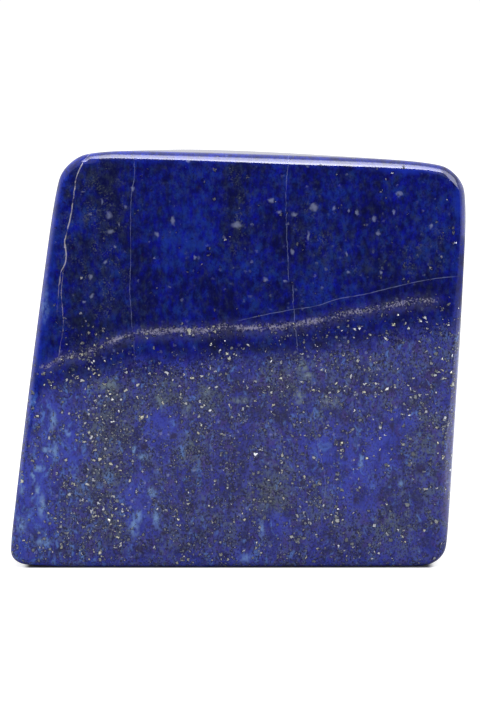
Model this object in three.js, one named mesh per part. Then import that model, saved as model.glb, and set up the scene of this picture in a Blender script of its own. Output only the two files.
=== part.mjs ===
// A free-standing polished block of lapis lazuli. It was sawn and ground to a leaning four-sided slab,
// thicker at its foot than at its top, and then polished until every edge and corner was round.
//
// The stone is one convex solid: what lies behind every one of its ground faces, with a fillet where
// they meet. Its surface is found along lines that run out from the middle of the block.
//
// Millimetres. X runs to the right, Y to the back and Z up. The origin is under the middle of the stone,
// on the surface that it stands on.
import * as THREE from "three";
import { mergeVertices } from "three/addons/utils/BufferGeometryUtils.js";

// Overall size before the edges are rounded, and the heights where the two sides reach their widest.
const WIDTH = 87.2;
const HEIGHT = 79.15;
const DEPTH = 30;
const LEFT_FOOT = 6.2;
const RIGHT_SHOULDER = 70;

// How far each face leans from upright or level, in degrees.
const LEFT_LEAN = 7.6;
const RIGHT_LEAN = 2.8;
const TOP_FALL = 1.75;
const BACK_LEAN = 6;
const BACK_TURN = 2.5;

// Radius of each corner of the outline, and of the edges in front of it and behind it.
const TOP_LEFT_RADIUS = 6.5;
const TOP_RIGHT_RADIUS = 7.5;
const FOOT_LEFT_RADIUS = 3.2;
const FOOT_RIGHT_RADIUS = 4;
const FRONT_EDGE_RADIUS = 1.9;
const BACK_EDGE_RADIUS = 4;
const SHOULDER_RADIUS = 6;

// The grinding left every face a little full, with this radius, and wound the front one by a hair.
const CROWN_RADIUS = 2600;
const FRONT_WIND = -0.00022;

// The mesh has rows closer together near the edges of the block than in the middle of its faces.
const EDGE_ROWS = [0, 0.55, 1.15, 1.85, 2.7, 3.8, 5.6];
const ROW_PITCH = 6;
const CORE_INSET = 10.5;

const slope = (degrees) => Math.tan(THREE.MathUtils.degToRad(degrees));

// A ground face, from the way that it looks and a point in its middle.
function face(out, middle) {
  const normal = new THREE.Vector3(...out).normalize();
  const centre = new THREE.Vector3(...middle);
  return { normal, centre, offset: normal.dot(centre) };
}

const SIDE = WIDTH / 2;
const BACK = DEPTH / 2;
const MIDDLE = HEIGHT / 2;
const LEFT_MIDDLE = slope(LEFT_LEAN) * (MIDDLE - LEFT_FOOT) - SIDE;
const RIGHT_MIDDLE = SIDE - slope(RIGHT_LEAN) * (RIGHT_SHOULDER - MIDDLE);

const front = face([0, -1, 0], [0, -BACK, MIDDLE]);
const back = face([slope(BACK_TURN), 1, slope(BACK_LEAN)], [0, BACK - slope(BACK_LEAN) * MIDDLE, MIDDLE]);
const left = face([-1, 0, slope(LEFT_LEAN)], [LEFT_MIDDLE, 0, MIDDLE]);
const right = face([1, 0, -slope(RIGHT_LEAN)], [RIGHT_MIDDLE, 0, MIDDLE]);
const top = face([slope(TOP_FALL), 0, 1], [0, 0, HEIGHT]);
const base = face([0, 0, -1], [0, 0, 0]);

// Smaller faces: two that let the top fall away to the back, and two that take off the back corners.
const topBackLeft = face([-0.062, 0.068, 1], [-8, 7, HEIGHT + 0.25]);
const topBackRight = face([0.0545, 0.042, 1], [-5, 7, HEIGHT + 0.15]);
const backLeftShoulder = face([-0.62, 0.55, 0.56], [-20, 7.5, HEIGHT - 1]);
const backRightEdge = face([0.75, 0.6, 0.3], [36.5, 9, 68]);

// How far a point lies in front of a ground face, with the face's crown and winding. The base is flat.
function inFrontOf(ground, p) {
  const ahead = ground.normal.dot(p) - ground.offset;
  if (ground === base) return ahead;
  const crown = (p.distanceToSquared(ground.centre) - ahead ** 2) / (2 * CROWN_RADIUS);
  const wind = ground === front ? FRONT_WIND * p.x * (p.z - MIDDLE) : 0;
  return ahead + crown + wind;
}

// How far a point is outside the edge of two faces that meet with a fillet, from how far it is in front
// of each.
function filleted(a, b, radius) {
  const past = Math.hypot(Math.max(0, a + radius), Math.max(0, b + radius));
  return past + Math.min(-radius, Math.max(a, b));
}

// How far a point is outside the stone: below zero inside it.
function outside(p) {
  const to = (ground) => inFrontOf(ground, p);
  const toTop = Math.max(to(top), to(topBackLeft), to(topBackRight));
  const toOutline = Math.max(
    filleted(to(left), toTop, TOP_LEFT_RADIUS),
    filleted(toTop, to(right), TOP_RIGHT_RADIUS),
    filleted(to(right), to(base), FOOT_RIGHT_RADIUS),
    filleted(to(base), to(left), FOOT_LEFT_RADIUS),
  );
  const toShoulder = filleted(to(back), to(backLeftShoulder), SHOULDER_RADIUS);
  const toBackSide = filleted(toShoulder, to(backRightEdge), SHOULDER_RADIUS);
  return Math.max(
    filleted(to(front), toOutline, FRONT_EDGE_RADIUS),
    filleted(toBackSide, toOutline, BACK_EDGE_RADIUS),
  );
}

// Where the outlines of two faces cross, seen from the front: [x, z].
function crossing(a, b) {
  const det = a.normal.x * b.normal.z - a.normal.z * b.normal.x;
  return [
    (a.offset * b.normal.z - b.offset * a.normal.z) / det,
    (b.offset * a.normal.x - a.offset * b.normal.x) / det,
  ];
}

const FOOT_LEFT = crossing(left, base);
const FOOT_RIGHT = crossing(right, base);
const TOP_LEFT = crossing(left, top);
const TOP_RIGHT = crossing(right, top);

const mix = (a, b, share) => a + (b - a) * share;

// A point of the sharp-edged block from its shares of the width, depth and height, each from 0 to 1.
function blockPoint(across, inward, up) {
  const x = mix(mix(FOOT_LEFT[0], FOOT_RIGHT[0], across), mix(TOP_LEFT[0], TOP_RIGHT[0], across), up);
  const z = mix(mix(FOOT_LEFT[1], FOOT_RIGHT[1], across), mix(TOP_LEFT[1], TOP_RIGHT[1], across), up);
  const backY = (back.offset - back.normal.x * x - back.normal.z * z) / back.normal.y;
  return new THREE.Vector3(x, mix(-BACK, backY, inward), z);
}

// The point of the stone's surface that lies between the middle of the block and a point of its skin.
function surfacePoint(across, inward, up) {
  const skin = blockPoint(across, inward, up);
  const core = blockPoint(
    THREE.MathUtils.clamp(across, CORE_INSET / WIDTH, 1 - CORE_INSET / WIDTH),
    0.5,
    THREE.MathUtils.clamp(up, CORE_INSET / HEIGHT, 1 - CORE_INSET / HEIGHT),
  );
  let near = 0;
  let far = 1.5;
  const p = new THREE.Vector3();
  for (let step = 0; step < 48; step++) {
    const share = (near + far) / 2;
    if (outside(p.lerpVectors(core, skin, share)) < 0) near = share;
    else far = share;
  }
  return p;
}

// Shares from 0 to 1 of a length: the edge rows at both ends, and even rows between them.
function rows(length) {
  const reach = EDGE_ROWS.at(-1);
  const even = Math.max(1, Math.round((length - 2 * reach) / ROW_PITCH));
  const middle = Array.from({ length: even - 1 }, (_, i) => mix(reach, length - reach, (i + 1) / even));
  const far = EDGE_ROWS.map((row) => length - row).reverse();
  return [...EDGE_ROWS, ...middle, ...far].map((row) => row / length);
}

const ROWS = [rows(WIDTH), rows(DEPTH), rows(HEIGHT)];

// One side of the block as a grid of triangles: axis 0, 1 or 2 is held at 0 or 1, the other two run.
function addSide(positions, axis, held) {
  const [u, v] = [(axis + 1) % 3, (axis + 2) % 3];
  const at = (i, j) => {
    const shares = [];
    shares[axis] = held;
    shares[u] = ROWS[u][i];
    shares[v] = ROWS[v][j];
    return surfacePoint(...shares).toArray();
  };
  for (let i = 0; i + 1 < ROWS[u].length; i++) {
    for (let j = 0; j + 1 < ROWS[v].length; j++) {
      const corners = [at(i, j), at(i + 1, j), at(i + 1, j + 1), at(i, j + 1)];
      if (held === 0) corners.reverse();
      const [a, b, c, d] = corners;
      positions.push(...a, ...b, ...c, ...a, ...c, ...d);
    }
  }
}

function stoneGeometry() {
  const positions = [];
  for (const axis of [0, 1, 2]) {
    for (const held of [0, 1]) addSide(positions, axis, held);
  }
  const triangles = new THREE.BufferGeometry();
  triangles.setAttribute("position", new THREE.Float32BufferAttribute(positions, 3));
  const geometry = mergeVertices(triangles, 1e-3);
  geometry.computeBoundingBox();
  const { min, max } = geometry.boundingBox;
  geometry.translate(-(min.x + max.x) / 2, -(min.y + max.y) / 2, -min.z);
  geometry.computeVertexNormals();
  return geometry;
}

const stone = new THREE.Mesh(
  stoneGeometry(),
  new THREE.MeshStandardMaterial({ color: 0x1e2a86, roughness: 0.12, metalness: 0 }),
);
stone.name = "lapis_stone";

const part = new THREE.Group();
part.add(stone);
export default part;
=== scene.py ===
"""A polished block of lapis lazuli on a white studio floor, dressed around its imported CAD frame.

Lengths are in millimetres until they reach Blender, which takes metres. X runs to the right as the camera
sees it, Y away from the camera and Z up. The origin is on the floor under the middle of the stone.
"""

import math

import bmesh
import bpy
import numpy as np
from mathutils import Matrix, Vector, kdtree, noise


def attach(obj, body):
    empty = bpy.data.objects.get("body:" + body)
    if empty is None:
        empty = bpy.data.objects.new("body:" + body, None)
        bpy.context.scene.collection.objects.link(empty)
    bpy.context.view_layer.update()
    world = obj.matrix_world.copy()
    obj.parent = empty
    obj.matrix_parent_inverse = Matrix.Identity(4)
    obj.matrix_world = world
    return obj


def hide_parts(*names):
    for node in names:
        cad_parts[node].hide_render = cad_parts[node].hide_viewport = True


MM = 0.001

# The camera looks along +Y, a little down, at the middle of the stone.
CAMERA_TARGET = (0.65, 0.0, 38.46)
CAMERA_DISTANCE = 600.0
CAMERA_ELEVATION = 6.0
CAMERA_LENS = 154.1
CAMERA_SENSOR = 36.0
CAMERA_CLIP = (10.0, 50000.0)

# The foot of the stone on the floor: its middle along X, and half its width and depth. The floor's painted
# shadow lies around it.
FOOT_X = -1.5
FOOT_HALF_WIDTH = 37.8
FOOT_HALF_DEPTH = 13.4

# How high the cards around the stone stand.
LOW_WALL = 187
HIGH_WALL = 420

# The worn lower corners of the stone: the X of each, the way from it to the middle, how far the wear lifts
# the foot there, and how far along the foot and how high up the stone that goes.
FOOT_CORNERS = [(-43.2, 1, 0.65, 14.0), (40.6, -1, 0.60, 9.0)]
FOOT_LIFT_HEIGHT = 5.0
# The wear also takes the sides in beside those corners: how far, and how wide and how high it goes.
SIDE_WEAR = 0.45
SIDE_WEAR_WIDTH = 6.0
SIDE_WEAR_HEIGHT = 8.0

# The length and the height of each kind of wave that the hand polish left.
POLISH_WAVES = [(13.0, 0.007), (5.0, 0.001)]

# Points of the CAD stone's mesh that are closer than this become one point. Two of its triangles become
# one quad if they bend and skew less than this, in radians. Each quad is then halved both ways this often.
WELD_GAP = 0.001
JOIN_ANGLE = 0.8
HALVINGS = 2

# The front face's Y, and the spans of X and Z that the lines drawn on the stone may cover.
FRONT_Y = -15.4
X_SPAN = (-45.0, 45.0)
Z_SPAN = (0.0, 82.0)

# Linear colours of the stone's minerals, and of the mixtures that they make.
BLUE_BLACK = (0.005, 0.0062, 0.056)
ULTRAMARINE = (0.006, 0.0090, 0.410)
OLIVE = (0.036, 0.0500, 0.082)
TEAL = (0.016, 0.0520, 0.270)
# Cobalt paints the light that the rounded edges catch.
COBALT = (0.013, 0.0350, 0.430)
SKY_BLUE = (0.100, 0.225, 0.620)
MILKY_BLUE = (0.034, 0.0400, 0.410)
CLEAR_BLUE = (0.030, 0.0560, 0.500)
GREEN_HAZE = (0.076, 0.110, 0.155)
OLIVE_HAZE = (0.088, 0.118, 0.060)
PALE_SKY = (0.185, 0.320, 0.620)
PALE_GREEN = (0.175, 0.235, 0.265)
VIOLET_BLACK = (0.012, 0.0050, 0.060)
OLIVE_BLACK = (0.009, 0.0120, 0.026)
GRIT_BLACK = (0.004, 0.0040, 0.060)
GOLD_DUST = (0.140, 0.165, 0.135)
PURPLE = (0.050, 0.0250, 0.200)
LILAC = (0.330, 0.318, 0.430)
CALCITE = (0.310, 0.350, 0.540)
SEAM_BLUE = (0.230, 0.270, 0.520)
CRACK_WHITE = (0.450, 0.420, 0.440)
DULL_BRASS = (0.165, 0.182, 0.200)
PYRITE = (0.920, 0.890, 0.600)
WHITE_IRON = (0.800, 0.820, 0.880)

# How far the band and the seam above it rise for each millimetre of depth.
BEDDING_RISE = 0.16
# The X of the band's ends, and how far it takes to fade in there.
BAND_ENDS = (-38.6, 40.3)
BAND_FADES = (2.6, 4.8)
# The lilac band: how high its middle lies at each X of the front face.
LILAC_BAND = [
    (-36.0, 38.6), (-33.2, 40.3), (-28.6, 41.4), (-24.0, 43.4), (-19.5, 45.1), (-14.0, 45.6), (-8.7, 45.6),
    (-2.0, 46.2), (7.1, 46.3), (13.4, 47.2), (19.7, 48.7), (26.9, 50.0), (33.5, 51.2), (40.0, 51.3),
]
# The fine bright seam that rises to the right above it.
RISING_SEAM = [
    (0.6, 47.6), (5.9, 48.8), (10.2, 49.6), (15.2, 50.4), (19.3, 51.7), (23.9, 52.5), (29.7, 53.9),
    (36.8, 55.4), (41.7, 55.9),
]
# The upright cracks and seams: the X of each at each height.
LEFT_CRACK = [
    (79.1, -27.9), (77.2, -29.2), (74.3, -30.4), (72.2, -30.7), (68.0, -31.3), (64.0, -32.2), (62.3, -32.6),
    (60.6, -32.3), (58.1, -32.6), (57.0, -33.2), (54.7, -33.6), (52.4, -33.8), (48.8, -34.1),
]
LEFT_BRANCH = [(57.5, -32.7), (53.0, -33.2), (49.4, -33.0), (46.2, -32.9), (43.1, -33.4), (40.2, -33.8)]
LEFT_SEAM = [
    (78.3, -19.4), (75.4, -19.2), (72.2, -19.7), (69.9, -19.9), (65.1, -20.0), (59.1, -20.0), (52.6, -20.2),
    (50.2, -20.0), (46.4, -19.8), (42.0, -19.4), (39.3, -19.4),
]
MIDDLE_SEAM = [(77.1, 9.7), (72.2, 9.3), (67.4, 9.4), (63.4, 9.5), (59.6, 9.7), (55.0, 9.8)]
LOWER_SEAM = [(55.2, 10.7), (51.8, 10.7), (48.8, 10.9), (45.9, 11.2), (42.2, 11.6)]
FOOT_SEAM = [(28.7, 15.7), (22.2, 15.7), (20.8, 16.2), (16.5, 16.9), (10.8, 16.5), (8.7, 17.0)]
# Each fine upright seam: its points, how far to the right it drifts for each millimetre of depth, half its
# width, and its lowest and highest point with how far it takes to fade in there.
FINE_SEAMS = [
    (LEFT_SEAM, -0.08, 0.075, (38.0, 80.0, 4.0)),
    (MIDDLE_SEAM, 0.05, 0.075, (54.5, 79.5, 1.0)),
    (LOWER_SEAM, 0.05, 0.09, (41.0, 55.5, 2.0)),
    (FOOT_SEAM, 0.05, 0.06, (8.0, 29.0, 3.0)),
]

# Blobs in the front face: x, z, half width and half height of each. Zones tint the stone softly, and the
# other blobs are spots with an edge.
OLIVE_ZONES = [
    (-26.5, 61.0, 5.5, 18.0), (-25.5, 48.0, 7.0, 5.5), (0.2, 69.5, 2.2, 9.0), (33.0, 32.0, 3.6, 2.4),
    (-30.7, 37.3, 2.4, 2.2), (-25.0, 38.2, 2.0, 1.0), (8.0, 40.0, 4.5, 2.5), (37.0, 61.0, 3.0, 4.0),
    (16.5, 60.5, 3.0, 4.0), (25.5, 58.5, 4.0, 3.0), (33.0, 59.0, 3.0, 3.0), (12.5, 67.0, 2.0, 4.0),
]
AZURE_ZONES = [
    (-10.5, 64.0, 5.5, 6.5), (-37.0, 55.0, 3.4, 17.0), (-14.0, 42.5, 6.0, 3.0), (16.4, 23.5, 3.0, 4.5),
    (24.7, 15.6, 2.6, 4.5), (-31.5, 24.0, 3.0, 6.0), (-19.0, 12.0, 3.0, 7.0), (1.6, 2.0, 2.0, 1.6),
    (7.6, 9.0, 2.2, 2.2), (-37.0, 30.0, 3.0, 8.0), (-38.5, 14.0, 4.0, 11.0), (22.0, 19.0, 3.0, 7.0),
    (-14.5, 26.5, 3.5, 3.8), (27.0, 23.0, 4.0, 4.5), (31.5, 28.0, 3.0, 2.0),
]
SKY_WISPS = [
    (-35.0, 28.4, 1.0, 2.8), (-34.5, 23.0, 0.7, 2.8), (-37.7, 19.4, 1.6, 0.9), (-38.8, 17.6, 0.6, 1.7),
    (-41.0, 15.6, 0.9, 1.8), (-38.0, 15.0, 0.6, 1.7), (-37.2, 12.0, 0.9, 3.2), (-41.2, 8.6, 1.4, 2.4),
    (-32.1, 26.1, 0.9, 1.0), (-36.4, 22.9, 0.9, 0.7), (-19.6, 23.0, 0.8, 1.6), (-17.8, 21.6, 1.4, 0.8),
    (-18.7, 10.1, 1.0, 1.7), (-15.3, 10.1, 0.7, 2.8), (-19.6, 8.4, 1.3, 2.8), (-16.1, 14.6, 1.1, 1.6),
    (-36.8, 5.1, 2.2, 1.1), (23.8, 20.6, 0.5, 2.2), (31.4, 16.2, 0.7, 1.3), (4.8, 7.6, 0.7, 2.2),
    (1.6, 1.9, 1.6, 1.2), (36.4, 3.2, 2.2, 1.2), (-36.6, 51.0, 1.2, 5.0),
]
PALE_PATCHES = [
    (12.6, 38.8, 1.2, 1.4), (13.6, 37.0, 1.4, 0.9), (12.0, 32.8, 1.5, 1.8), (17.8, 32.0, 2.4, 1.5),
    (1.0, 32.5, 2.8, 0.8), (29.2, 9.9, 1.2, 1.4), (32.8, 10.5, 0.9, 1.1), (33.5, 7.6, 1.1, 0.9),
    (-14.6, 32.5, 1.0, 1.4), (-24.5, 35.2, 3.0, 1.6), (-9.5, 31.0, 1.2, 2.2), (-6.0, 34.2, 1.6, 1.2),
]
HAZE_ZONES = [
    (-23.7, 28.6, 5.4, 8.5), (-23.5, 8.0, 4.5, 3.6), (-12.5, 34.5, 2.4, 3.4), (-5.0, 33.5, 2.6, 2.8),
    (-25.5, 17.0, 4.0, 4.5), (7.5, 35.5, 4.0, 3.0), (15.2, 27.5, 2.0, 3.6), (29.0, 8.6, 3.2, 2.6),
    (6.0, 14.0, 4.0, 4.0), (-8.0, 22.0, 3.0, 5.0), (36.0, 26.0, 3.0, 5.0),
]
# Painted light: lighter cobalt blobs on the rims and at the lower corners, where the rounded edges catch
# light.
PAINTED_EDGE_LIGHTS = [
    (-41.2, 4.2, 1.6, 2.6), (42.0, 70.5, 1.2, 5.0), (33.0, 76.2, 8.0, 1.2), (37.0, 3.4, 3.0, 2.0),
    (40.0, 6.0, 1.4, 3.0),
]
DARK_STREAKS = [
    (3.5, 34.3, 6.0, 0.6), (16.0, 34.2, 6.0, 0.7), (27.5, 34.3, 5.5, 1.0), (36.0, 34.9, 3.0, 0.7),
]
INKY_PATCHES = [
    (-28.6, 47.2, 3.2, 2.6), (-25.6, 46.6, 2.4, 1.6), (-30.7, 52.0, 1.4, 3.0), (-31.2, 38.2, 2.0, 1.4),
    (-21.5, 42.8, 2.6, 0.8), (5.0, 42.2, 4.0, 1.2), (-4.5, 42.5, 1.6, 1.8), (15.5, 43.0, 3.0, 1.2),
]
VIOLET_SPOTS = [
    (-17.6, 23.6, 0.8, 0.8), (-34.7, 25.6, 0.6, 0.6), (-11.9, 25.6, 1.0, 0.8), (-18.7, 3.8, 1.5, 1.0),
    (-14.2, 6.9, 0.6, 0.6), (22.7, 13.3, 0.7, 1.0), (31.4, 21.5, 1.0, 0.9), (14.0, 15.0, 0.7, 0.7),
    (13.2, 8.9, 1.1, 0.8), (16.0, 26.7, 0.6, 0.9), (26.6, 17.8, 0.6, 0.6), (29.7, 27.3, 0.6, 1.3),
    (34.9, 19.0, 1.5, 1.6), (7.6, 19.2, 0.8, 0.7), (-35.0, 22.5, 0.5, 0.6), (-1.0, 12.0, 0.7, 0.7),
]
CALCITE_SPOTS = [
    (-24.1, 67.5, 0.65, 0.85), (-23.9, 64.4, 0.75, 0.65), (-27.7, 67.7, 0.5, 0.5), (-20.9, 69.0, 0.4, 0.6),
    (-22.2, 65.8, 0.3, 0.6), (-25.4, 70.0, 0.25, 0.8), (-24.9, 58.6, 0.5, 0.4), (-27.7, 55.8, 0.5, 0.45),
    (-27.4, 52.1, 0.55, 0.45), (-29.0, 50.9, 0.35, 0.35), (-29.0, 72.0, 0.7, 0.3), (-9.0, 77.8, 0.5, 0.5),
    (-19.7, 72.5, 0.3, 0.6), (0.0, 65.7, 1.1, 0.75), (-15.1, 63.9, 0.5, 0.5), (-7.7, 59.5, 0.35, 0.5),
    (-23.1, 61.7, 0.35, 0.3), (-15.3, 59.5, 0.3, 0.3), (14.7, 69.0, 1.0, 0.8), (8.1, 68.2, 0.6, 0.45),
    (11.1, 67.7, 0.7, 0.5), (13.5, 63.6, 0.35, 0.9), (6.5, 70.4, 0.5, 0.6), (21.2, 68.5, 0.3, 0.5),
    (22.8, 68.2, 0.25, 0.6), (18.5, 68.9, 0.3, 0.5), (25.9, 66.9, 0.5, 0.5), (26.9, 64.1, 0.6, 0.35),
    (29.7, 68.1, 0.3, 0.6), (30.7, 71.5, 0.6, 0.5), (36.8, 65.5, 0.4, 0.7), (41.1, 69.1, 0.35, 0.4),
    (21.2, 56.7, 0.45, 0.4), (27.3, 56.9, 0.3, 0.5), (20.8, 60.1, 0.2, 0.8), (10.5, 60.7, 0.4, 0.6),
    (5.4, 55.3, 0.5, 0.4), (-32.4, 60.2, 0.4, 0.6), (9.2, 55.1, 0.4, 0.3), (-12.0, 66.5, 0.5, 0.9),
]
BRASS_ZONES = [
    (-35.5, 37.2, 1.4, 1.8), (-28.7, 27.0, 2.0, 2.8), (-18.0, 29.0, 1.4, 0.8), (-6.6, 28.3, 1.2, 1.8),
    (-23.8, 20.8, 2.6, 1.8), (-27.0, 15.5, 2.5, 3.2), (-19.8, 15.8, 1.1, 2.6), (-32.0, 14.8, 1.1, 1.9),
    (-22.1, 6.5, 1.2, 3.0), (-35.1, 10.1, 1.8, 2.2), (-12.3, 37.6, 1.1, 1.0), (-1.6, 40.7, 0.9, 1.5),
    (15.2, 41.0, 1.0, 1.8), (16.5, 38.2, 0.8, 1.2), (25.7, 34.6, 2.8, 1.0), (20.6, 34.2, 1.6, 0.6),
    (6.3, 34.4, 1.6, 0.8), (26.0, 38.0, 1.1, 0.8), (38.0, 37.6, 1.5, 1.5), (39.6, 27.0, 0.7, 4.5),
    (-27.5, 41.4, 4.5, 1.4), (-8.9, 45.6, 1.2, 0.9), (-4.3, 45.0, 0.8, 1.6), (0.0, 73.1, 0.9, 1.2),
    (-29.0, 44.6, 4.5, 2.6), (19.7, 48.7, 2.4, 1.0), (5.0, 11.0, 2.0, 2.5), (14.0, 9.0, 1.5, 1.5),
    (-23.0, 32.0, 2.2, 2.0), (-25.5, 25.5, 3.2, 4.5), (-24.5, 11.0, 5.0, 5.5), (-13.0, 12.0, 2.5, 3.0),
    (4.5, 34.9, 7.0, 0.9), (18.0, 34.7, 8.0, 0.9), (29.5, 34.4, 5.0, 0.8),
]
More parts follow.
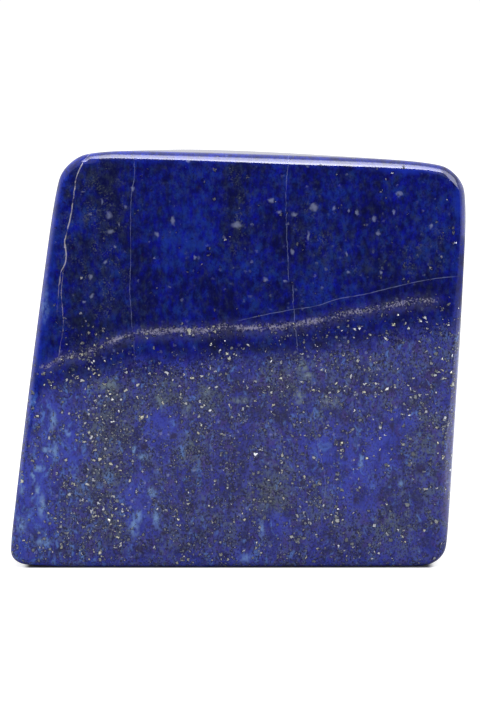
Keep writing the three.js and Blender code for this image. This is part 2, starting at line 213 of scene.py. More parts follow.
# The pyrite grains that stand out: x, z, half width, half height and brightness of each. The brightness is a
# painted glint: how much light each grain's face seems to catch.
BRIGHT_GRAINS = [
    (1.5, 36.1, 0.36, 0.30, 0.75), (3.5, 36.1, 0.25, 0.25, 0.60), (2.0, 34.8, 0.26, 0.40, 0.60),
    (6.1, 34.9, 0.55, 0.20, 0.70), (6.6, 33.9, 0.36, 0.25, 0.60), (5.2, 33.8, 0.30, 0.20, 0.60),
    (9.8, 34.9, 0.28, 0.30, 0.50), (12.4, 35.8, 0.22, 0.22, 0.70), (14.6, 34.3, 0.42, 0.20, 0.75),
    (15.6, 34.3, 0.20, 0.20, 0.60), (17.7, 33.9, 0.36, 0.25, 0.60), (19.3, 34.0, 0.28, 0.25, 1.00),
    (20.4, 34.1, 0.25, 0.22, 0.80), (20.7, 35.0, 0.35, 0.25, 0.60), (21.7, 36.9, 0.22, 0.50, 0.70),
    (24.4, 35.5, 0.50, 0.22, 0.70), (24.2, 34.0, 0.42, 0.28, 0.95), (26.6, 35.6, 0.50, 0.26, 0.90),
    (27.6, 34.0, 0.36, 0.26, 0.60), (26.4, 33.8, 0.30, 0.20, 0.60), (30.1, 34.8, 0.26, 0.22, 0.60),
    (38.0, 33.9, 0.30, 0.25, 1.00), (36.1, 33.4, 0.40, 0.20, 0.50), (6.7, 38.1, 0.20, 0.50, 0.65),
    (14.9, 40.8, 0.30, 0.34, 0.70), (15.4, 40.1, 0.28, 0.30, 0.65), (16.2, 38.1, 0.20, 0.42, 0.70),
    (16.9, 38.0, 0.20, 0.42, 0.65), (28.2, 44.2, 0.42, 0.30, 0.70), (32.0, 47.0, 0.28, 0.30, 0.60),
    (29.7, 46.8, 0.25, 0.34, 0.60), (34.7, 43.6, 0.30, 0.32, 0.75), (12.4, 41.2, 0.28, 0.25, 0.70),
    (23.0, 39.9, 0.30, 0.45, 0.55), (20.3, 41.0, 0.30, 0.30, 0.55), (7.0, 31.5, 0.34, 0.32, 0.70),
    (3.4, 32.2, 0.32, 0.28, 0.60), (37.7, 37.2, 0.34, 0.40, 0.70), (39.1, 38.1, 0.26, 0.30, 0.70),
    (33.6, 36.6, 0.22, 0.26, 0.60), (31.5, 29.6, 0.22, 0.26, 0.70), (-26.1, 21.1, 0.45, 0.40, 0.80),
    (-24.0, 20.2, 0.50, 0.35, 0.70), (-27.7, 25.3, 0.40, 0.45, 0.90), (-28.9, 24.4, 0.45, 0.30, 0.70),
    (-28.0, 26.2, 0.30, 0.30, 0.60), (-22.1, 18.9, 0.35, 0.28, 0.85), (-20.3, 17.0, 0.30, 0.45, 0.75),
    (-19.1, 14.9, 0.28, 0.60, 0.75), (-28.4, 16.3, 0.34, 0.34, 1.00), (-28.4, 17.8, 0.25, 0.25, 0.70),
    (-27.3, 17.0, 0.40, 0.25, 0.60), (-30.9, 16.3, 0.25, 0.25, 0.90), (-31.9, 14.3, 0.45, 0.40, 0.70),
    (-26.3, 12.6, 0.45, 0.30, 0.80), (-27.7, 11.1, 0.45, 0.30, 1.00), (-26.9, 10.3, 0.25, 0.35, 0.80),
    (-22.1, 4.6, 0.30, 0.55, 1.00), (-22.7, 6.0, 0.42, 0.25, 0.90), (-29.4, 13.3, 0.25, 0.35, 0.70),
    (-21.8, 11.0, 0.35, 0.30, 0.80), (-23.5, 13.9, 0.50, 0.25, 0.65), (-18.0, 18.7, 0.35, 0.25, 0.70),
    (-34.2, 18.4, 0.22, 0.30, 0.60), (-32.9, 16.4, 0.30, 0.30, 0.60), (-35.1, 3.3, 0.25, 0.25, 0.90),
    (-27.2, 3.2, 0.25, 0.25, 0.80), (-35.9, 10.8, 0.22, 0.45, 0.60), (-34.5, 9.7, 0.45, 0.25, 0.65),
    (-30.3, 8.9, 0.30, 0.28, 0.70), (-22.6, 9.2, 0.30, 0.30, 0.60), (-21.7, 12.4, 0.30, 0.30, 0.60),
    (-28.0, 6.0, 0.25, 0.40, 0.60), (-25.7, 2.3, 0.30, 0.25, 0.60), (-21.4, 1.6, 0.30, 0.30, 0.70),
    (1.1, 10.8, 0.28, 0.28, 1.00), (1.5, 9.4, 0.45, 0.30, 0.60), (9.0, 13.5, 0.30, 0.40, 0.60),
    (13.4, 12.9, 0.25, 0.22, 0.90), (14.8, 21.4, 0.38, 0.42, 0.50), (16.4, 19.3, 0.20, 0.45, 0.50),
    (16.7, 12.1, 0.30, 0.40, 0.60), (16.8, 9.8, 0.20, 0.50, 0.60), (24.8, 21.3, 0.32, 0.32, 0.80),
    (27.3, 22.9, 0.25, 0.25, 0.70), (27.3, 25.1, 0.25, 0.25, 0.70), (29.0, 22.2, 0.40, 0.20, 0.60),
    (32.2, 5.0, 0.42, 0.25, 1.00), (27.2, 2.9, 0.35, 0.22, 0.90), (25.9, 1.9, 0.30, 0.30, 0.70),
    (38.3, 24.1, 0.28, 0.30, 0.90), (39.3, 21.3, 0.28, 0.50, 0.80), (38.2, 15.4, 0.40, 0.22, 0.80),
    (39.9, 15.2, 0.30, 0.25, 0.80), (6.1, 17.1, 0.25, 0.25, 0.70), (12.9, 17.7, 0.30, 0.30, 0.60),
    (14.1, 8.7, 0.30, 0.28, 0.70), (13.1, 2.0, 0.28, 0.28, 0.80), (11.4, 3.0, 0.25, 0.25, 0.70),
    (15.4, 3.7, 0.25, 0.22, 0.80), (1.2, 3.3, 0.40, 0.30, 0.60), (4.7, 2.9, 0.30, 0.35, 0.60),
    (13.1, 25.6, 0.25, 0.25, 0.60), (19.1, 17.3, 0.40, 0.30, 0.50), (20.7, 11.7, 0.25, 0.25, 0.60),
    (28.7, 6.7, 0.30, 0.30, 0.60), (-29.4, 41.1, 0.45, 0.45, 0.70), (-29.4, 43.3, 0.30, 0.28, 0.80),
    (-24.6, 44.1, 0.30, 0.25, 0.60), (-25.5, 42.5, 0.45, 0.30, 0.50), (-17.1, 44.4, 0.35, 0.25, 0.70),
    (-17.1, 45.0, 0.40, 0.20, 0.50), (-8.9, 45.6, 0.45, 0.50, 0.70), (-7.9, 46.2, 0.28, 0.25, 0.60),
    (-4.3, 46.4, 0.35, 0.28, 0.80), (-4.1, 45.5, 0.40, 0.40, 0.50), (-1.4, 40.3, 0.50, 0.45, 0.70),
    (-1.9, 41.2, 0.25, 0.50, 0.60), (-5.0, 38.7, 0.20, 0.40, 0.80), (-13.2, 37.6, 0.50, 0.32, 0.90),
    (-12.1, 36.3, 0.32, 0.25, 0.80), (-16.5, 37.5, 0.35, 0.30, 0.60), (-18.9, 36.6, 0.25, 0.35, 0.60),
    (-18.8, 35.4, 0.30, 0.40, 0.75), (-21.0, 34.3, 0.35, 0.35, 0.65), (-22.0, 32.4, 0.28, 0.28, 0.95),
    (-24.8, 33.2, 0.45, 0.35, 0.70), (-26.1, 33.2, 0.40, 0.30, 0.70), (-26.8, 32.3, 0.30, 0.28, 0.65),
    (-29.4, 36.2, 0.50, 0.45, 0.70), (-32.2, 36.3, 0.40, 0.30, 0.70), (-33.2, 30.1, 0.35, 0.28, 0.75),
    (-31.8, 29.8, 0.30, 0.25, 0.70), (-30.0, 29.2, 0.25, 0.50, 0.70), (-28.8, 28.0, 0.50, 0.30, 0.70),
    (-26.6, 31.1, 0.35, 0.30, 0.55), (-18.0, 29.2, 0.40, 0.35, 0.90), (-17.1, 29.3, 0.25, 0.30, 0.70),
    (-18.8, 33.0, 0.22, 0.25, 0.70), (-14.0, 31.8, 0.28, 0.28, 0.70), (-10.9, 35.1, 0.35, 0.35, 0.60),
    (-10.6, 33.4, 0.25, 0.30, 0.70), (-10.1, 37.2, 0.25, 0.22, 0.60), (-6.7, 37.0, 0.40, 0.30, 0.70),
    (-9.5, 31.8, 0.50, 0.35, 0.60), (-6.9, 32.1, 0.30, 0.45, 0.65), (-6.6, 31.1, 0.40, 0.25, 0.65),
    (-5.2, 34.7, 0.25, 0.30, 0.75), (-3.8, 34.9, 0.22, 0.30, 0.70), (-1.3, 31.5, 0.30, 0.30, 0.75),
    (1.1, 30.8, 0.25, 0.28, 0.70), (-6.6, 27.7, 0.25, 0.30, 0.90), (-7.2, 29.3, 0.30, 0.30, 0.60),
    (0.5, 29.6, 0.22, 0.30, 0.60), (-4.0, 37.9, 0.28, 0.28, 0.60), (-28.1, 29.7, 0.22, 0.28, 0.65),
    (-28.6, 47.4, 0.30, 0.30, 0.50), (-27.2, 46.2, 0.30, 0.30, 0.50), (-26.6, 44.9, 0.35, 0.30, 0.60),
    (-29.6, 48.9, 0.25, 0.30, 0.50), (-28.0, 45.2, 0.30, 0.30, 0.50), (-25.3, 45.6, 0.25, 0.25, 0.50),
    (-26.6, 28.9, 0.25, 0.22, 0.70), (-27.7, 36.9, 0.25, 0.22, 0.60),
]
# The kinds of placed spots: their shapes, colour and strength, and the share of its size out to which each
# spot is solid. The less of it is solid, the more it is broken into curls.
SPOT_KINDS = [
    (CALCITE_SPOTS, CALCITE, 0.49, 0.25),
    (PAINTED_EDGE_LIGHTS, COBALT, 0.70, 0.20),
    (SKY_WISPS, PALE_SKY, 0.95, 0.0),
    (PALE_PATCHES, PALE_GREEN, 0.90, 0.0),
    (VIOLET_SPOTS, VIOLET_BLACK, 0.85, 0.30),
    (DARK_STREAKS, VIOLET_BLACK, 0.75, 0.15),
    (INKY_PATCHES, OLIVE_BLACK, 0.75, 0.10),
]
# How far into the stone the zones reach, and how far the placed spots and grains do.
ZONE_DEPTH = 7.0
SPOT_DEPTH = 1.2
# A zone has faded out at this many times its size, and is full from 1 less inward.
ZONE_RIM = 1.5

# A point is on a rounded edge if no part of its normal reaches this, and the stone has painted edge light
# this near to one.
ROUND_FROM = 0.97
EDGE_REACH = 1.1


def metres(point):
    return Vector(point) * MM


def share_of(number, span):
    return (number - span[0]) / (span[1] - span[0])


class Field:
    """A number or a vector at every point of the stone. Numbers take + - * with each other."""

    def __init__(self, pattern, socket):
        self.pattern = pattern
        self.socket = socket

    def __add__(self, other):
        return self.pattern.math("ADD", self, other)

    def __sub__(self, other):
        return self.pattern.math("SUBTRACT", self, other)

    def __rsub__(self, other):
        return self.pattern.math("SUBTRACT", other, self)

    def __mul__(self, other):
        return self.pattern.math("MULTIPLY", self, other)

    __radd__ = __add__
    __rmul__ = __mul__


class Pattern:
    """Makes the shader nodes of a material or a world from plain calls. Lengths are in millimetres."""

    def __init__(self, owner):
        self.tree = owner.node_tree
        self.at = self.scale(self.add("ShaderNodeTexCoord", {}, "Object"), 1.0 / MM)
        self.x, self.y, self.z = self.parts(self.at)

    def add(self, kind, inputs, output=0, **settings):
        """One output of a new node, which takes its inputs and its settings from here."""
        node = self.tree.nodes.new(kind)
        for name, value in settings.items():
            setattr(node, name, value)
        for name, value in inputs.items():
            if isinstance(value, Field):
                self.tree.links.new(value.socket, node.inputs[name])
            else:
                node.inputs[name].default_value = value
        return Field(self, node.outputs[output])

    def parts(self, vector):
        split = self.add("ShaderNodeSeparateXYZ", {0: vector}).socket.node
        return [Field(self, output) for output in split.outputs]

    def math(self, operation, *values):
        return self.add("ShaderNodeMath", dict(enumerate(values)), operation=operation)

    def vector(self, operation, *values, output=0):
        return self.add("ShaderNodeVectorMath", dict(enumerate(values)), output, operation=operation)

    def scale(self, vector, number):
        return self.add("ShaderNodeVectorMath", {0: vector, 3: number}, operation="SCALE")

    def ramp(self, value, low, high, dim, full):
        """Dim at low, full at high, and even between them."""
        return self.add("ShaderNodeMapRange", {0: value, 1: low, 2: high, 3: dim, 4: full})

    def smooth(self, value, low, high):
        """0 at low, 1 at high, and soft between them. Low may be the greater of the two."""
        inputs = {0: value, 1: low, 2: high}
        return self.add("ShaderNodeMapRange", inputs, interpolation_type="SMOOTHSTEP")

    def largest(self, fields):
        top = fields[0]
        for field in fields[1:]:
            top = self.math("MAXIMUM", top, field)
        return top

    def mix(self, share, a, b):
        colours = [(*colour, 1.0) if isinstance(colour, tuple) else colour for colour in (a, b)]
        inputs = {0: share, 6: colours[0], 7: colours[1]}
        return self.add("ShaderNodeMix", inputs, 2, data_type="RGBA")

    def scaled(self, at, size, shift):
        """The place in sizes, and shifted, so that no two patterns line up."""
        sizes = size if isinstance(size, tuple) else (size, size, size)
        return self.vector("MULTIPLY_ADD", at, tuple(1.0 / s for s in sizes), (shift, shift * 1.7, -shift))

    def noise(self, at, size, shift, detail=2.0, roughness=0.5, output="Fac"):
        """Soft random clouds about one size across, near 0.5 all over."""
        inputs = {
            "Vector": self.scaled(at, size, shift), "Scale": 1.0, "Detail": detail, "Roughness": roughness,
        }
        return self.add("ShaderNodeTexNoise", inputs, output)

    def warped(self, at, size, reach, shift):
        """The place moved a little, each way by up to about the reach."""
        swirl = self.noise(at, size, shift, output="Color")
        swirl = self.vector("SUBTRACT", swirl, (0.5, 0.5, 0.5))
        # The swirl now stays within about a quarter each way.
        return self.vector("MULTIPLY_ADD", swirl, (4.0 * reach,) * 3, at)

    def cells(self, at, size, shift, distance="EUCLIDEAN"):
        """Random cells: how far the middle of the nearest is, and three random numbers of its own."""
        place = self.scaled(at, size, shift)
        gap = self.add("ShaderNodeTexVoronoi", {"Vector": place, "Scale": 1.0}, distance=distance)
        return gap * size, Field(self, gap.socket.node.outputs["Color"])

    def line(self, value, points, span_in, span_out):
        """The second number of the points at each value of their first, on a smooth line."""
        node = self.tree.nodes.new("ShaderNodeFloatCurve")
        node.mapping.extend = "HORIZONTAL"
        curve = node.mapping.curves[0]
        for first, second in sorted(points):
            curve.points.new(share_of(first, span_in), share_of(second, span_out))
        # The curve's own first and last points go, which were there before.
        curve.points.remove(curve.points[0])
        curve.points.remove(curve.points[-1])
        node.mapping.update()
        inside = (value - span_in[0]) * (1.0 / (span_in[1] - span_in[0]))
        self.tree.links.new(inside.socket, node.inputs["Value"])
        return Field(self, node.outputs[0]) * (span_out[1] - span_out[0]) + span_out[0]

    def stored(self, name, output):
        """What the mesh keeps at this point or on this face under a name."""
        return self.add("ShaderNodeAttribute", {}, output, attribute_name=name)


def add_camera():
    elevation = math.radians(CAMERA_ELEVATION)
    back = Vector((0.0, -math.cos(elevation), math.sin(elevation)))
    data = bpy.data.cameras.new("camera")
    data.lens = CAMERA_LENS
    data.sensor_width = CAMERA_SENSOR
    data.clip_start = CAMERA_CLIP[0] * MM
    data.clip_end = CAMERA_CLIP[1] * MM
    camera = bpy.data.objects.new("camera", data)
    camera.location = metres(Vector(CAMERA_TARGET) + back * CAMERA_DISTANCE)
    camera.rotation_euler = (-back).to_track_quat("-Z", "Y").to_euler()
    bpy.context.scene.collection.objects.link(camera)
    bpy.context.scene.camera = camera


def add_world():
    """A room that is brighter above and behind the stone, and plain white where the camera sees it."""
    world = bpy.data.worlds.new("studio")
    world.use_nodes = True
    p = Pattern(world)
    _, backward, upward = p.parts(p.add("ShaderNodeTexCoord", {}, "Generated"))
    strength = p.ramp(upward, 0.0, 1.0, 0.55, 1.1) * p.ramp(backward, -1.0, 0.0, 0.75, 1.4)
    room = p.add("ShaderNodeBackground", {"Color": (0.97, 0.97, 1.0, 1.0), "Strength": strength})
    seen = p.add("ShaderNodeBackground", {"Color": (1.0, 1.0, 1.0, 1.0), "Strength": 1.05})
    by_camera = p.add("ShaderNodeLightPath", {}, "Is Camera Ray")
    either = p.add("ShaderNodeMixShader", {0: by_camera, 1: room, 2: seen})
    nodes, links = world.node_tree.nodes, world.node_tree.links
    links.new(either.socket, nodes["World Output"].inputs["Surface"])
    nodes.remove(nodes["Background"])
    bpy.context.scene.world = world


def matte(name, colour):
    material = bpy.data.materials.new(name)
    material.use_nodes = True
    shader = material.node_tree.nodes["Principled BSDF"]
    shader.inputs["Base Color"].default_value = (*colour, 1.0)
    shader.inputs["Roughness"].default_value = 1.0
    shader.inputs["Specular IOR Level"].default_value = 0.0
    return material


def floor_material():
    """A pale floor that the camera sees a little brighter than it is, as an overexposed white, but for a
    painted shadow right beside the foot of the stone, where that extra brightness fades out."""
    material = matte("floor_white", (0.43, 0.43, 0.43))
    p = Pattern(material)
    beside = p.math("MAXIMUM", p.math("ABSOLUTE", p.x - FOOT_X) - FOOT_HALF_WIDTH, 0.0)
    ahead = p.math("MAXIMUM", p.math("ABSOLUTE", p.y) - FOOT_HALF_DEPTH, 0.0)
    away = p.math("SQRT", beside * beside + ahead * ahead)
    # Painted shadow: the camera's extra brightness fades out near the foot's rectangle.
    lift = p.add("ShaderNodeLightPath", {}, "Is Camera Ray") * p.smooth(away, 0.3, 2.0) * 0.8
    shader = material.node_tree.nodes["Principled BSDF"]
    shader.inputs["Emission Color"].default_value = (1.0, 1.0, 1.0, 1.0)
    material.node_tree.links.new(lift.socket, shader.inputs["Emission Strength"])
    return material


def glow(name, colour, radiance, *fades):
    """Light of one radiance, times each fade: an axis, where along it the fade is darkest, where it is
    full, and the share that is left where it is darkest."""
    material = bpy.data.materials.new(name)
    material.use_nodes = True
    p = Pattern(material)
    strength = radiance
    for axis, dark, full, left in fades:
        strength = strength * (p.smooth(getattr(p, axis), dark, full) * (1.0 - left) + left)
    emission = p.add("ShaderNodeEmission", {"Color": (*colour, 1.0), "Strength": strength})
    nodes, links = material.node_tree.nodes, material.node_tree.links
    links.new(emission.socket, nodes["Material Output"].inputs["Surface"])
    nodes.remove(nodes["Principled BSDF"])
    return material


def moved(line, by):
    return [tuple(Vector(point) + Vector(by)) for point in line]


def add_card(name, line, far_line, material):
    """A folded card between two lines of points."""
    corners = line + far_line
    count = len(line)
    faces = [(i, i + 1, i + 1 + count, i + count) for i in range(count - 1)]
    mesh = bpy.data.meshes.new(name)
    mesh.from_pydata([metres(corner) for corner in corners], [], faces)
    mesh.materials.append(material)
    card = bpy.data.objects.new(name, mesh)
    bpy.context.scene.collection.objects.link(card)
    return card


def add_reflected(name, line, far_line, material):
    """A card for the polish alone: it shows in reflections, and lights and shades nothing."""
    card = add_card(name, line, far_line, material)
    card.visible_camera = False
    card.visible_diffuse = False
    card.visible_transmission = False
    card.visible_shadow = False


def add_floor():
    near_edge = [(-3000, -3000, 0), (3000, -3000, 0)]
    add_card("floor", near_edge, moved(near_edge, (0, 6000, 0)), floor_material())


def add_walls():
    """A low dark wall before the stone, a glowing one on either side, and a bright floor on the right."""
    low = (0, 0, LOW_WALL)
    wall = [
        (-250, -330, -1), (-70, -366, -1), (0, -400, -1), (75, -420, -1), (400, -420, -1), (520, -390, -1),
    ]
    add_reflected("dark_wall", wall, moved(wall, low), matte("card_black", (0.0, 0.0, 0.0)))
    left_wall = [(-430, 300, -1), (-430, -200, -1), (-250, -330, -1)]
    left_glow = glow("card_left", (0.90, 0.92, 1.0), 1.7, ("y", -330, 60, 0.0))
    add_reflected("left_card", left_wall, moved(left_wall, low), left_glow)
    right_wall = [(520, -390, 0), (700, -250, 0), (740, 100, 0), (560, 600, 0)]
    right_glow = glow("card_right", (0.90, 0.91, 1.0), 2.4, ("y", -390, -150, 0.3))
    add_reflected("right_card", right_wall, moved(right_wall, (0, 0, HIGH_WALL)), right_glow)
    patch_edge = [(55, -160, 0.5), (420, -160, 0.5)]
    patch_glow = glow("floor_right", (0.95, 0.95, 1.0), 2.9, ("x", 60, 110, 0.4), ("x", 420, 260, 0.4))
    add_reflected("floor_light", patch_edge, moved(patch_edge, (0, 420, 0)), patch_glow)


def softbox_section(x, *lip):
    """The softbox's points at one X: its front lip, from the Y and Z of each, and then its roof."""
    return [(x, y, z) for y, z in (*lip, (-230, 440), (-80, 470))]


def add_softboxes():
    """The folded softbox over the front of the stone, and a plain one on its right."""
    left_end = softbox_section(-240, (-262, 410), (-255, 418), (-246, 425))
    bend = softbox_section(-45, (-360, 275), (-345, 315), (-315, 360))
    middle = softbox_section(20, (-400, LOW_WALL), (-385, 260), (-340, 340))
    front_fades = ("x", -230, -90, 0.0), ("y", -70, -230, 0.15), ("z", 400, 230, 0.55)
    front_glow = glow("lamp_front", (0.93, 0.93, 1.0), 23.0, *front_fades)
    add_reflected("left_softbox", left_end, bend, front_glow)
    add_reflected("middle_softbox", bend, middle, front_glow)
    right_end = softbox_section(200, (-335, 345), (-325, 355), (-315, 365))
    add_reflected("right_softbox", middle, right_end, front_glow)
    side_glow = glow("lamp_side", (0.92, 0.92, 1.0), 7.0, ("y", -70, -230, 0.15))
    side_end = moved(middle, (180, 0, 0))
    add_reflected("side_softbox", side_end, moved(side_end, (400, 0, 0)), side_glow)


def add_lamp(name, position, target, size, radiance):
    """A rectangular lamp that sends the given radiance from each point of its face, but isn't reflected."""
    data = bpy.data.lights.new(name, "AREA")
    data.shape = "RECTANGLE"
    data.size, data.size_y = size[0] * MM, size[1] * MM
    data.energy = radiance * math.pi * data.size * data.size_y
    lamp = bpy.data.objects.new(name, data)
    lamp.location = metres(position)
    lamp.rotation_euler = (metres(target) - metres(position)).to_track_quat("-Z", "Y").to_euler()
    lamp.visible_glossy = False
    bpy.context.scene.collection.objects.link(lamp)


class Stone(Pattern):
    """The pattern of the stone, with the places, zones and clouds that its layers share."""

    def __init__(self, material):
        super().__init__(material)
        self.depth = self.y - FRONT_Y
        self.drifted = self.warped(self.at, 4.0, 1.1, 3.1)
        self.frayed = self.warped(self.warped(self.at, 2.2, 0.25, 2.4), 0.75, 0.22, 4.7)
        self.rippled = self.warped(self.at, 0.42, 0.22, 8.3)
        self.crumbs = self.noise(self.at, 0.40, 21.2, detail=2.0, roughness=0.7)
        self.clusters = self.smooth(self.noise(self.drifted, (2.6, 2.6, 3.4), 51.0, detail=3.0), 0.45, 0.64)
        self.olive_zone, self.azure_zone, self.haze_zone = self.parts(self.stored("zones", "Vector"))
        self.brass_zone = self.stored("zones", "Alpha")

        wander = (self.noise(self.at, 6.0, 5.2, detail=4.0) - 0.5) * 1.2
        band_height = self.line(self.x, LILAC_BAND, X_SPAN, Z_SPAN)
        self.above_band = self.z - band_height - self.depth * BEDDING_RISE - wander
        self.below = self.smooth(self.above_band, 2.0, -3.0)
        self.under = self.smooth(self.above_band, -3.4, -7.4)


def blue_ground(p):
    """Ultramarine that runs to blue-black, teal and olive, streaked upright, with painted light at the
    rounded edges: lighter cobalt where they catch light, most of all on the left and at the foot."""
    clouds = p.noise(p.drifted, (7.0, 7.0, 10.0), 2.9, detail=2.0)
    mottle = p.noise(p.at, (1.5, 1.5, 2.1), 1.3, detail=4.0, roughness=0.6)
    streaks = p.noise(p.at, (0.45, 0.45, 2.2), 6.1)
    green = p.noise(p.at, (1.2, 1.2, 1.7), 9.7, detail=3.0, roughness=0.55)
    grey = p.noise(p.at, (1.2, 1.2, 1.6), 13.3, detail=4.0, roughness=0.65)
    blue = mottle * 0.54 + clouds * 0.30 + streaks * 0.16
    blueness = p.smooth(blue + p.azure_zone * 0.035 - p.olive_zone * 0.035, 0.36, 0.77)
    colour = p.mix(blueness, BLUE_BLACK, ULTRAMARINE)
    tealness = p.smooth(green * 0.65 + clouds * 0.35 + p.azure_zone * 0.04, 0.44, 0.74)
    colour = p.mix(tealness * (0.7 - p.under * 0.4), colour, TEAL)
    oliveness = p.smooth(grey + p.olive_zone * 0.06 - p.azure_zone * 0.03, 0.42, 0.92)
    colour = p.mix(oliveness * 0.9, colour, OLIVE)
    # Painted light: cobalt on the rounded edges, strongest on the left and at the foot.
    painted_edge_light = p.smooth(p.x, 20.0, -25.0) * 0.5 + p.smooth(p.z, 5.0, 1.5) * 0.5 + 0.3
    edge = p.stored("edge", "Fac") * painted_edge_light
    return p.mix(edge * (p.smooth(mottle, 0.35, 0.65) * 0.8 + 0.3), colour, COBALT)


def hazy(p, colour):
    """The milkier stone under the band: greener where the grains cluster, clear blue in the azure zones,
    and with violet and sky-blue wisps."""
    clouds = p.noise(p.drifted, (2.2, 2.2, 3.8), 12.4, detail=3.0)
    broad = p.noise(p.drifted, (7.0, 7.0, 11.0), 11.1, detail=1.0)
    fine = p.noise(p.at, (0.60, 0.60, 0.80), 15.4, detail=3.0, roughness=0.6)
    milk = clouds * 0.65 + broad * 0.20 + fine * 0.15
    colour = p.mix(p.smooth(milk, 0.34, 0.62) * p.under * 0.80, colour, MILKY_BLUE)
    green = clouds * 0.25 + broad * 0.25 + fine * 0.50 + p.clusters * 0.04
    greenness = p.smooth(green + p.haze_zone * 0.07 - p.azure_zone * 0.05, 0.48, 0.64)
    haze = p.mix(p.smooth(p.haze_zone + fine, 0.75, 1.45) * 0.7, GREEN_HAZE, OLIVE_HAZE)
    colour = p.mix(greenness * p.under * 0.72, colour, haze)
    violet = p.noise(p.drifted, (1.6, 1.6, 2.2), 33.6, detail=3.0)
    colour = p.mix(p.smooth(violet, 0.53, 0.66) * p.under * 0.60, colour, PURPLE)
    colour = p.mix(p.azure_zone * p.smooth(clouds, 0.34, 0.58) * p.under * 0.65, colour, CLEAR_BLUE)
    sky = p.noise(p.drifted, (1.1, 1.1, 2.8), 17.2, detail=3.0)
    skyness = p.smooth(sky + p.smooth(p.x, -16.0, -34.0) * 0.06, 0.56, 0.76)
    return p.mix(skyness * p.under * 0.7, colour, SKY_BLUE)


def dusted(p, colour):
    """Fine black grit and dull gold dust, both thicker under the band."""
    grit = p.noise(p.at, (0.36, 0.36, 0.44), 25.8, detail=1.0)
    gritty = (p.clusters * 0.50 + p.haze_zone * 0.15 + 0.30) * p.under + 0.42
    dark = p.smooth(grit, 0.48, 0.38) * gritty * (1.0 - p.azure_zone * 0.5)
    colour = p.mix(dark, colour, GRIT_BLACK)
    dust = p.smooth(p.noise(p.at, 0.32, 27.7, detail=1.0), 0.53, 0.66)
    dusty = p.under * (p.clusters * 0.25 + p.haze_zone * 0.25 + 0.12) + p.olive_zone * p.clusters * 0.42
    return p.mix(dust * dusty, colour, GOLD_DUST)


def placed_spots(p):
    """The colour of the spots that are placed one by one, and how much of it shows."""
    off = p.vector("SUBTRACT", p.frayed, p.stored("spot_middle", "Vector"))
    off = p.vector("DIVIDE", off, p.stored("spot_reach", "Vector"))
    solid = p.stored("spot_middle", "Alpha")
    strength = p.stored("spot_colour", "Alpha")
    curls = p.smooth(p.noise(p.at, (0.7, 0.7, 1.2), 38.0, detail=3.0), 0.33, 0.55)
    whole = p.math("MAXIMUM", p.smooth(solid, 0.0, 0.2), curls)
    share = p.smooth(p.vector("LENGTH", off, output="Value"), 1.15, solid) * strength * whole
    return p.stored("spot_colour", "Color"), share


def spotted(p, colour):
    """The placed spots, over dark violet ones that are everywhere."""
    gap, random = p.cells(p.frayed, 1.5, 19.0)
    draw, size, depth = p.parts(random)
    dark = p.smooth(gap - size * 0.32, 0.20, -0.08) * p.math("LESS_THAN", draw, 0.52)
    colour = p.mix(dark * depth * 0.95, colour, VIOLET_BLACK)
    spot_colour, share = placed_spots(p)
    return p.mix(share, colour, spot_colour)


def banded(p, colour):
    """The band of fine lilac grains. Also gives how near to its middle each point is, from 0 to 1."""
    thick = p.noise(p.at, 5.0, 23.0) * 2.2 + 0.2
    left_end = p.smooth(p.x, BAND_ENDS[0], BAND_ENDS[0] + BAND_FADES[0])
    right_end = p.smooth(p.x, BAND_ENDS[1], BAND_ENDS[1] - BAND_FADES[1])
    between_ends = right_end * left_end
    near = p.smooth(p.math("ABSOLUTE", p.above_band), thick, 0.0) * between_ends
    halo = p.smooth(p.math("ABSOLUTE", p.above_band + 0.3), 2.5, 0.0) * between_ends
    clumps = p.noise(p.at, 3.2, 24.5, detail=1.0)
    crumbed = p.smooth(near * 0.20 + p.crumbs + clumps * 0.5, 0.84, 1.04)
    share = p.math("MAXIMUM", crumbed * near * 0.90, halo * p.crumbs * 0.20)
    return p.mix(share, colour, LILAC), near


def pale_flecks(p, colour):
    """Soft specks of calcite, and of olive diopside where the stone is olive."""
    gap, random = p.cells(p.rippled, 1.2, 31.0)
    draw, size, bright = p.parts(random)
    present = p.math("LESS_THAN", draw, p.under * 0.05 + p.olive_zone * 0.25 + 0.48)
    fleck = p.smooth(gap - size * 0.26, 0.16, -0.10) * present * bright * p.smooth(p.crumbs, 0.25, 0.55)
    share = fleck * (p.under * 0.38 + p.olive_zone * 0.25 + 0.31)
    return p.mix(share, colour, p.mix(p.olive_zone * 0.9, CALCITE, GOLD_DUST))


def seam(p, across, width, ends, along):
    """A thin sheet where the number across passes 0, with its ends faded out along the other number."""
    low, high, fade = ends
    mask = p.smooth(p.math("ABSOLUTE", across), width, width * 0.35)
    return mask * p.smooth(along, low, low + fade) * p.smooth(along, high, high - fade)


def seams_and_cracks(p):
    """Where the pale seams are, and the two open cracks on the left."""
    broken = p.smooth(p.noise(p.at, 1.6, 41.0, detail=3.0), 0.36, 0.56)
    jitter = (p.noise(p.at, 1.0, 43.0, detail=4.0, roughness=0.7) - 0.5) * 1.1
    height = p.z + jitter * 0.8

    def upright(points, drift, width, ends):
        across = p.x - p.line(height, points, Z_SPAN, X_SPAN) - p.depth * drift + jitter * 0.55
        return seam(p, across, width, ends, p.z)

    above = p.z - p.line(p.x, RISING_SEAM, X_SPAN, Z_SPAN) - p.depth * BEDDING_RISE + jitter * 0.2
    rising = seam(p, above, 0.10, (-1.0, 43.0, 4.0), p.x)
    fine = p.largest([*(upright(*line) for line in FINE_SEAMS), rising])
    crack = upright(LEFT_CRACK, 0.12, broken * 0.11 + 0.05, (48.0, 80.0, 1.5))
    branch = upright(LEFT_BRANCH, 0.12, 0.09, (39.5, 58.0, 2.0))
    cracks = p.math("MAXIMUM", crack * p.smooth(p.z, 46.0, 60.0), branch * 0.6) * (broken * 0.8 + 0.2)
    return fine * (broken * 0.6 + 0.4), cracks


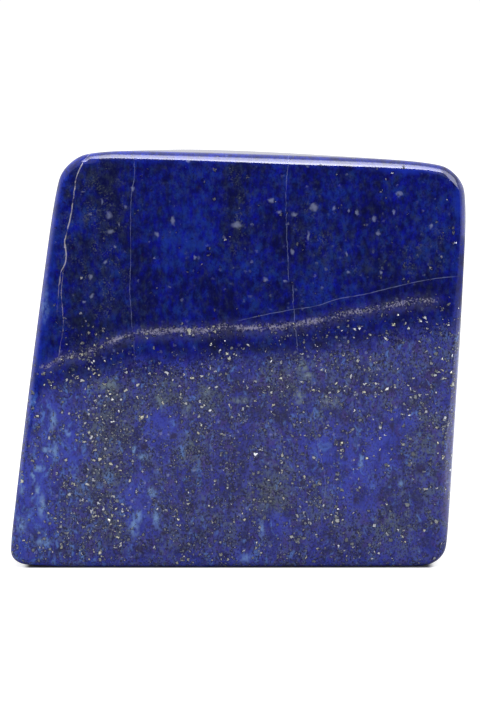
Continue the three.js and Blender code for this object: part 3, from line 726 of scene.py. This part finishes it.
def grains(p, size, shift, chance, small, large):
    """Angular grains in a share of the cells: their mask, a wider one for their dark rims, how bright
    each is, which the pyrite takes as a painted glint, and how the polish has tipped its face."""
    gap, random = p.cells(p.rippled, size, shift, "CHEBYCHEV")
    draw, big, bright = p.parts(random)
    present = p.math("LESS_THAN", draw, chance)
    beyond = gap - (big * big * (large - small) + small)
    grain = p.smooth(beyond, 0.03, -0.04) * present
    rim = p.smooth(beyond, 0.24, 0.04) * present
    tip = p.scale(p.vector("SUBTRACT", random, (0.5, 0.5, 0.5)), grain * 0.5)
    return grain, rim, bright, tip


def placed_grains(p):
    """The grains that are placed one by one: their mask, a wider one for their dark rims, and how bright
    each is, as a painted glint."""
    off = p.vector("SUBTRACT", p.rippled, p.stored("grain_middle", "Vector"))
    off = p.vector("DIVIDE", off, p.stored("grain_reach", "Vector"))
    ragged = p.noise(p.at, 0.3, 64.0, detail=1.0)
    gap = p.vector("LENGTH", off, output="Value") + ragged * 1.8
    return p.smooth(gap, 1.72, 1.42), p.smooth(gap, 2.4, 1.7), p.stored("grain_middle", "Alpha")


def pyrite(p, near_band):
    """Brassy grains, thick in the band and in clusters below it: their mask, one for their dark rims, their
    colour, from dull to bright brass as a painted glint, and how their faces are tipped."""
    spread = p.below * (p.clusters * 0.45 + p.smooth(p.x, 26.0, 12.0) * 0.12 + 0.11)
    thick = spread + near_band * 0.50 + p.brass_zone * (p.clusters * 0.28 + 0.32)
    many = (thick + p.clusters * 0.05 + 0.01) * (1.0 - p.azure_zone * 0.6)
    coarse, coarse_rim, coarse_glint, coarse_tip = grains(p, 1.05, 53.0, many * 0.70, 0.12, 0.34)
    small, small_rim, small_glint, small_tip = grains(p, 0.60, 57.0, many * 0.85, 0.09, 0.18)
    placed, placed_rim, placed_glint = placed_grains(p)
    grain = p.largest([coarse, small, placed])
    rim = p.largest([coarse_rim, small_rim * 0.8, placed_rim])
    # Painted glint: each grain's brightness stands in for how much light its face catches.
    bright = p.math("MAXIMUM", coarse * coarse_glint, small * small_glint)
    bright = bright * bright * (p.math("MINIMUM", thick, 0.55) * 0.60 + 0.30)
    bright = p.math("MAXIMUM", bright, placed * placed_glint * 0.8)
    tips = p.vector("ADD", coarse_tip, small_tip)
    goldness = p.smooth(p.noise(p.at, 3.0, 61.0, detail=3.0) + near_band * 0.1, 0.46, 0.62)
    return grain, rim, p.mix(bright, DULL_BRASS, p.mix(goldness, WHITE_IRON, PYRITE)), tips


def stone_colour(p):
    """The colour of the stone, with painted light on its edges and painted glints on its grains, the masks of
    its grains and cracks, and how the grains' faces are tipped.
    """
    colour = blue_ground(p)
    colour = hazy(p, colour)
    colour = dusted(p, colour)
    colour = spotted(p, colour)
    colour, near_band = banded(p, colour)
    colour = pale_flecks(p, colour)
    fine, cracks = seams_and_cracks(p)
    colour = p.mix(fine * 0.5, colour, SEAM_BLUE)
    colour = p.mix(cracks * 0.64, colour, CRACK_WHITE)
    grain, rim, brass, tips = pyrite(p, near_band)
    colour = p.mix(rim * 0.9, colour, GRIT_BLACK)
    colour = p.mix(grain * (p.below * 0.5 + 0.5), colour, brass)
    return colour, grain, cracks, tips


def lapis_material():
    material = bpy.data.materials.new("lapis_polished")
    material.use_nodes = True
    p = Stone(material)
    colour, grain, cracks, tips = stone_colour(p)
    roughness = p.math("MAXIMUM", grain * 0.38, cracks * 0.4 + 0.075)
    facing = p.add("ShaderNodeNewGeometry", {}, "Normal")
    bump = {"Distance": MM, "Height": cracks * -0.02, "Normal": p.vector("ADD", facing, tips)}
    normal = p.add("ShaderNodeBump", bump, "Normal")

    shader = material.node_tree.nodes["Principled BSDF"]
    shader.inputs["IOR"].default_value = 1.5
    links = material.node_tree.links
    links.new(colour.socket, shader.inputs["Base Color"])
    links.new(roughness.socket, shader.inputs["Roughness"])
    links.new((grain * 0.5).socket, shader.inputs["Metallic"])
    links.new(normal.socket, shader.inputs["Normal"])
    return material


def blob_gaps(places, shapes, deep):
    """How far each place is from the middle of each blob, in shares of the blob's own size."""
    middles = np.array([(x, FRONT_Y, z) for x, z, _, _ in shapes])
    reaches = np.array([(wide, deep, high) for _, _, wide, high in shapes])
    return np.linalg.norm((places[:, None] - middles) / reaches, axis=2)


def store(mesh, name, kind, domain, values):
    """Keeps a row of numbers for each point or face of the mesh, for its material to read."""
    fields = {"FLOAT": "value", "FLOAT_VECTOR": "vector", "FLOAT_COLOR": "color"}
    mesh.attributes.new(name, kind, domain).data.foreach_set(fields[kind], np.ravel(values))


def store_zones(mesh):
    """For each point, how far inside each kind of zone it is, from 0 to 1."""
    places = np.empty((len(mesh.vertices), 3))
    mesh.vertices.foreach_get("co", places.ravel())
    shares = []
    for zones in (OLIVE_ZONES, AZURE_ZONES, HAZE_ZONES, BRASS_ZONES):
        gaps = blob_gaps(places / MM, zones, ZONE_DEPTH).min(axis=1)
        shares.append(np.clip(ZONE_RIM - gaps, 0.0, 1.0))
    store(mesh, "zones", "FLOAT_COLOR", "POINT", np.stack(shares, axis=1))


def store_nearest(mesh, name, shapes, notes):
    """For each face, the placed shape that it is deepest in or nearest to: its middle, with the number that
    is noted for it as a fourth, and its reach. Also gives which shape that is."""
    places = np.empty((len(mesh.polygons), 3))
    mesh.polygons.foreach_get("center", places.ravel())
    sizes = np.array([math.sqrt(wide * high) for _, _, wide, high in shapes])
    beyond = (blob_gaps(places / MM, shapes, SPOT_DEPTH) - 1.0) * sizes
    nearest = beyond.argmin(axis=1)
    middles = np.array([(x, FRONT_Y, z, note) for (x, z, _, _), note in zip(shapes, notes)])
    reaches = np.array([(wide, SPOT_DEPTH, high) for _, _, wide, high in shapes])
    store(mesh, name + "_middle", "FLOAT_COLOR", "FACE", middles[nearest])
    store(mesh, name + "_reach", "FLOAT_VECTOR", "FACE", reaches[nearest])
    return nearest


def store_spots(mesh):
    """For each face, the nearest placed spot, with how much of it is solid, and its colour and strength."""
    shapes, colours, solids = [], [], []
    for spots, colour, strength, solid in SPOT_KINDS:
        shapes += spots
        colours += [(*colour, strength)] * len(spots)
        solids += [solid] * len(spots)
    nearest = store_nearest(mesh, "spot", shapes, solids)
    store(mesh, "spot_colour", "FLOAT_COLOR", "FACE", np.array(colours)[nearest])


def store_grains(mesh):
    """For each face, the nearest placed grain, with its brightness, a painted glint."""
    shapes = [grain[:4] for grain in BRIGHT_GRAINS]
    store_nearest(mesh, "grain", shapes, [grain[4] for grain in BRIGHT_GRAINS])


def store_edge(mesh):
    """For each point, how near it is to a rounded edge: 1 on the edge, and 0 from EDGE_REACH away from it."""
    round_points = [v for v in mesh.vertices if max(abs(part) for part in v.normal) < ROUND_FROM]
    tree = kdtree.KDTree(len(round_points))
    for index, vertex in enumerate(round_points):
        tree.insert(vertex.co, index)
    tree.balance()
    gaps = np.array([tree.find(vertex.co)[2] for vertex in mesh.vertices]) / MM
    store(mesh, "edge", "FLOAT", "POINT", np.clip(1.0 - gaps / EDGE_REACH, 0.0, 1.0))


def polish_waves(mesh):
    """Low waves of the hand polish, a few thousandths of a millimetre high."""
    normals = [vertex.normal.copy() for vertex in mesh.vertices]
    for vertex, normal in zip(mesh.vertices, normals):
        place = vertex.co / MM
        height = sum(noise.noise(place / length) * high for length, high in POLISH_WAVES)
        vertex.co += normal * height * MM


def remaining(gap, reach):
    """1 at no gap, falling evenly to 0 at the reach."""
    return max(0.0, 1.0 - gap / reach)


def wear_foot(mesh):
    """The two lower corners are worn some tenths of a millimetre further than the CAD stone's."""
    for vertex in mesh.vertices:
        x, _, z = vertex.co / MM
        for corner, inward, lift, reach in FOOT_CORNERS:
            gap = (x - corner) * inward
            lifted = remaining(gap, reach) ** 2 * remaining(z, FOOT_LIFT_HEIGHT) ** 2
            worn = remaining(z, SIDE_WEAR_HEIGHT) ** 2 * remaining(gap, SIDE_WEAR_WIDTH)
            vertex.co.z += lifted * lift * MM
            vertex.co.x += worn * inward * SIDE_WEAR * MM


def quad_copy(node):
    """A new object with the CAD stone's own mesh, its triangles joined to quads."""
    mesh = node.data.copy()
    mesh.materials.clear()
    shell = bmesh.new()
    shell.from_mesh(mesh)
    bmesh.ops.remove_doubles(shell, verts=shell.verts, dist=WELD_GAP * MM)
    bmesh.ops.join_triangles(
        shell, faces=shell.faces, angle_face_threshold=JOIN_ANGLE, angle_shape_threshold=JOIN_ANGLE
    )
    shell.to_mesh(mesh)
    shell.free()
    stone = bpy.data.objects.new("polished_stone", mesh)
    bpy.context.scene.collection.objects.link(stone)
    return stone


def halve(stone):
    """Halves the object's quads both ways, as often as HALVINGS says, and shades them smooth."""
    divide = stone.modifiers.new("divide", "SUBSURF")
    divide.levels = HALVINGS
    divide.render_levels = HALVINGS
    bpy.context.view_layer.update()
    depsgraph = bpy.context.evaluated_depsgraph_get()
    fine = bpy.data.meshes.new_from_object(stone.evaluated_get(depsgraph))
    stone.modifiers.clear()
    stone.data = fine
    fine.shade_smooth()


def polished_copy(node):
    """The CAD stone as finer quads, with its polish, its wear and all that its material reads."""
    stone = quad_copy(node)
    halve(stone)
    polish_waves(stone.data)
    wear_foot(stone.data)
    store_zones(stone.data)
    store_edge(stone.data)
    store_spots(stone.data)
    store_grains(stone.data)
    return stone


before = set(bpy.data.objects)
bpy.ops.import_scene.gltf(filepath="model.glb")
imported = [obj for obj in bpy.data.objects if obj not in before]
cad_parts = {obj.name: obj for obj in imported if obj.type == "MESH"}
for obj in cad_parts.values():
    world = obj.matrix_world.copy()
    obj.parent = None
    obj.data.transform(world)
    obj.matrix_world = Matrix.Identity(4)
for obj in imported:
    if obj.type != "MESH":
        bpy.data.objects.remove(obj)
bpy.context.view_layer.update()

bpy.context.scene.view_settings.view_transform = "Standard"
add_camera()
add_world()
add_floor()
add_walls()
add_softboxes()
add_lamp("key", position=(40, -150, 480), target=(0, 0, 40), size=(300, 300), radiance=4.0)

stone = polished_copy(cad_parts["lapis_stone"])
stone.data.materials.append(lapis_material())
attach(stone, "root")
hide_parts("lapis_stone")
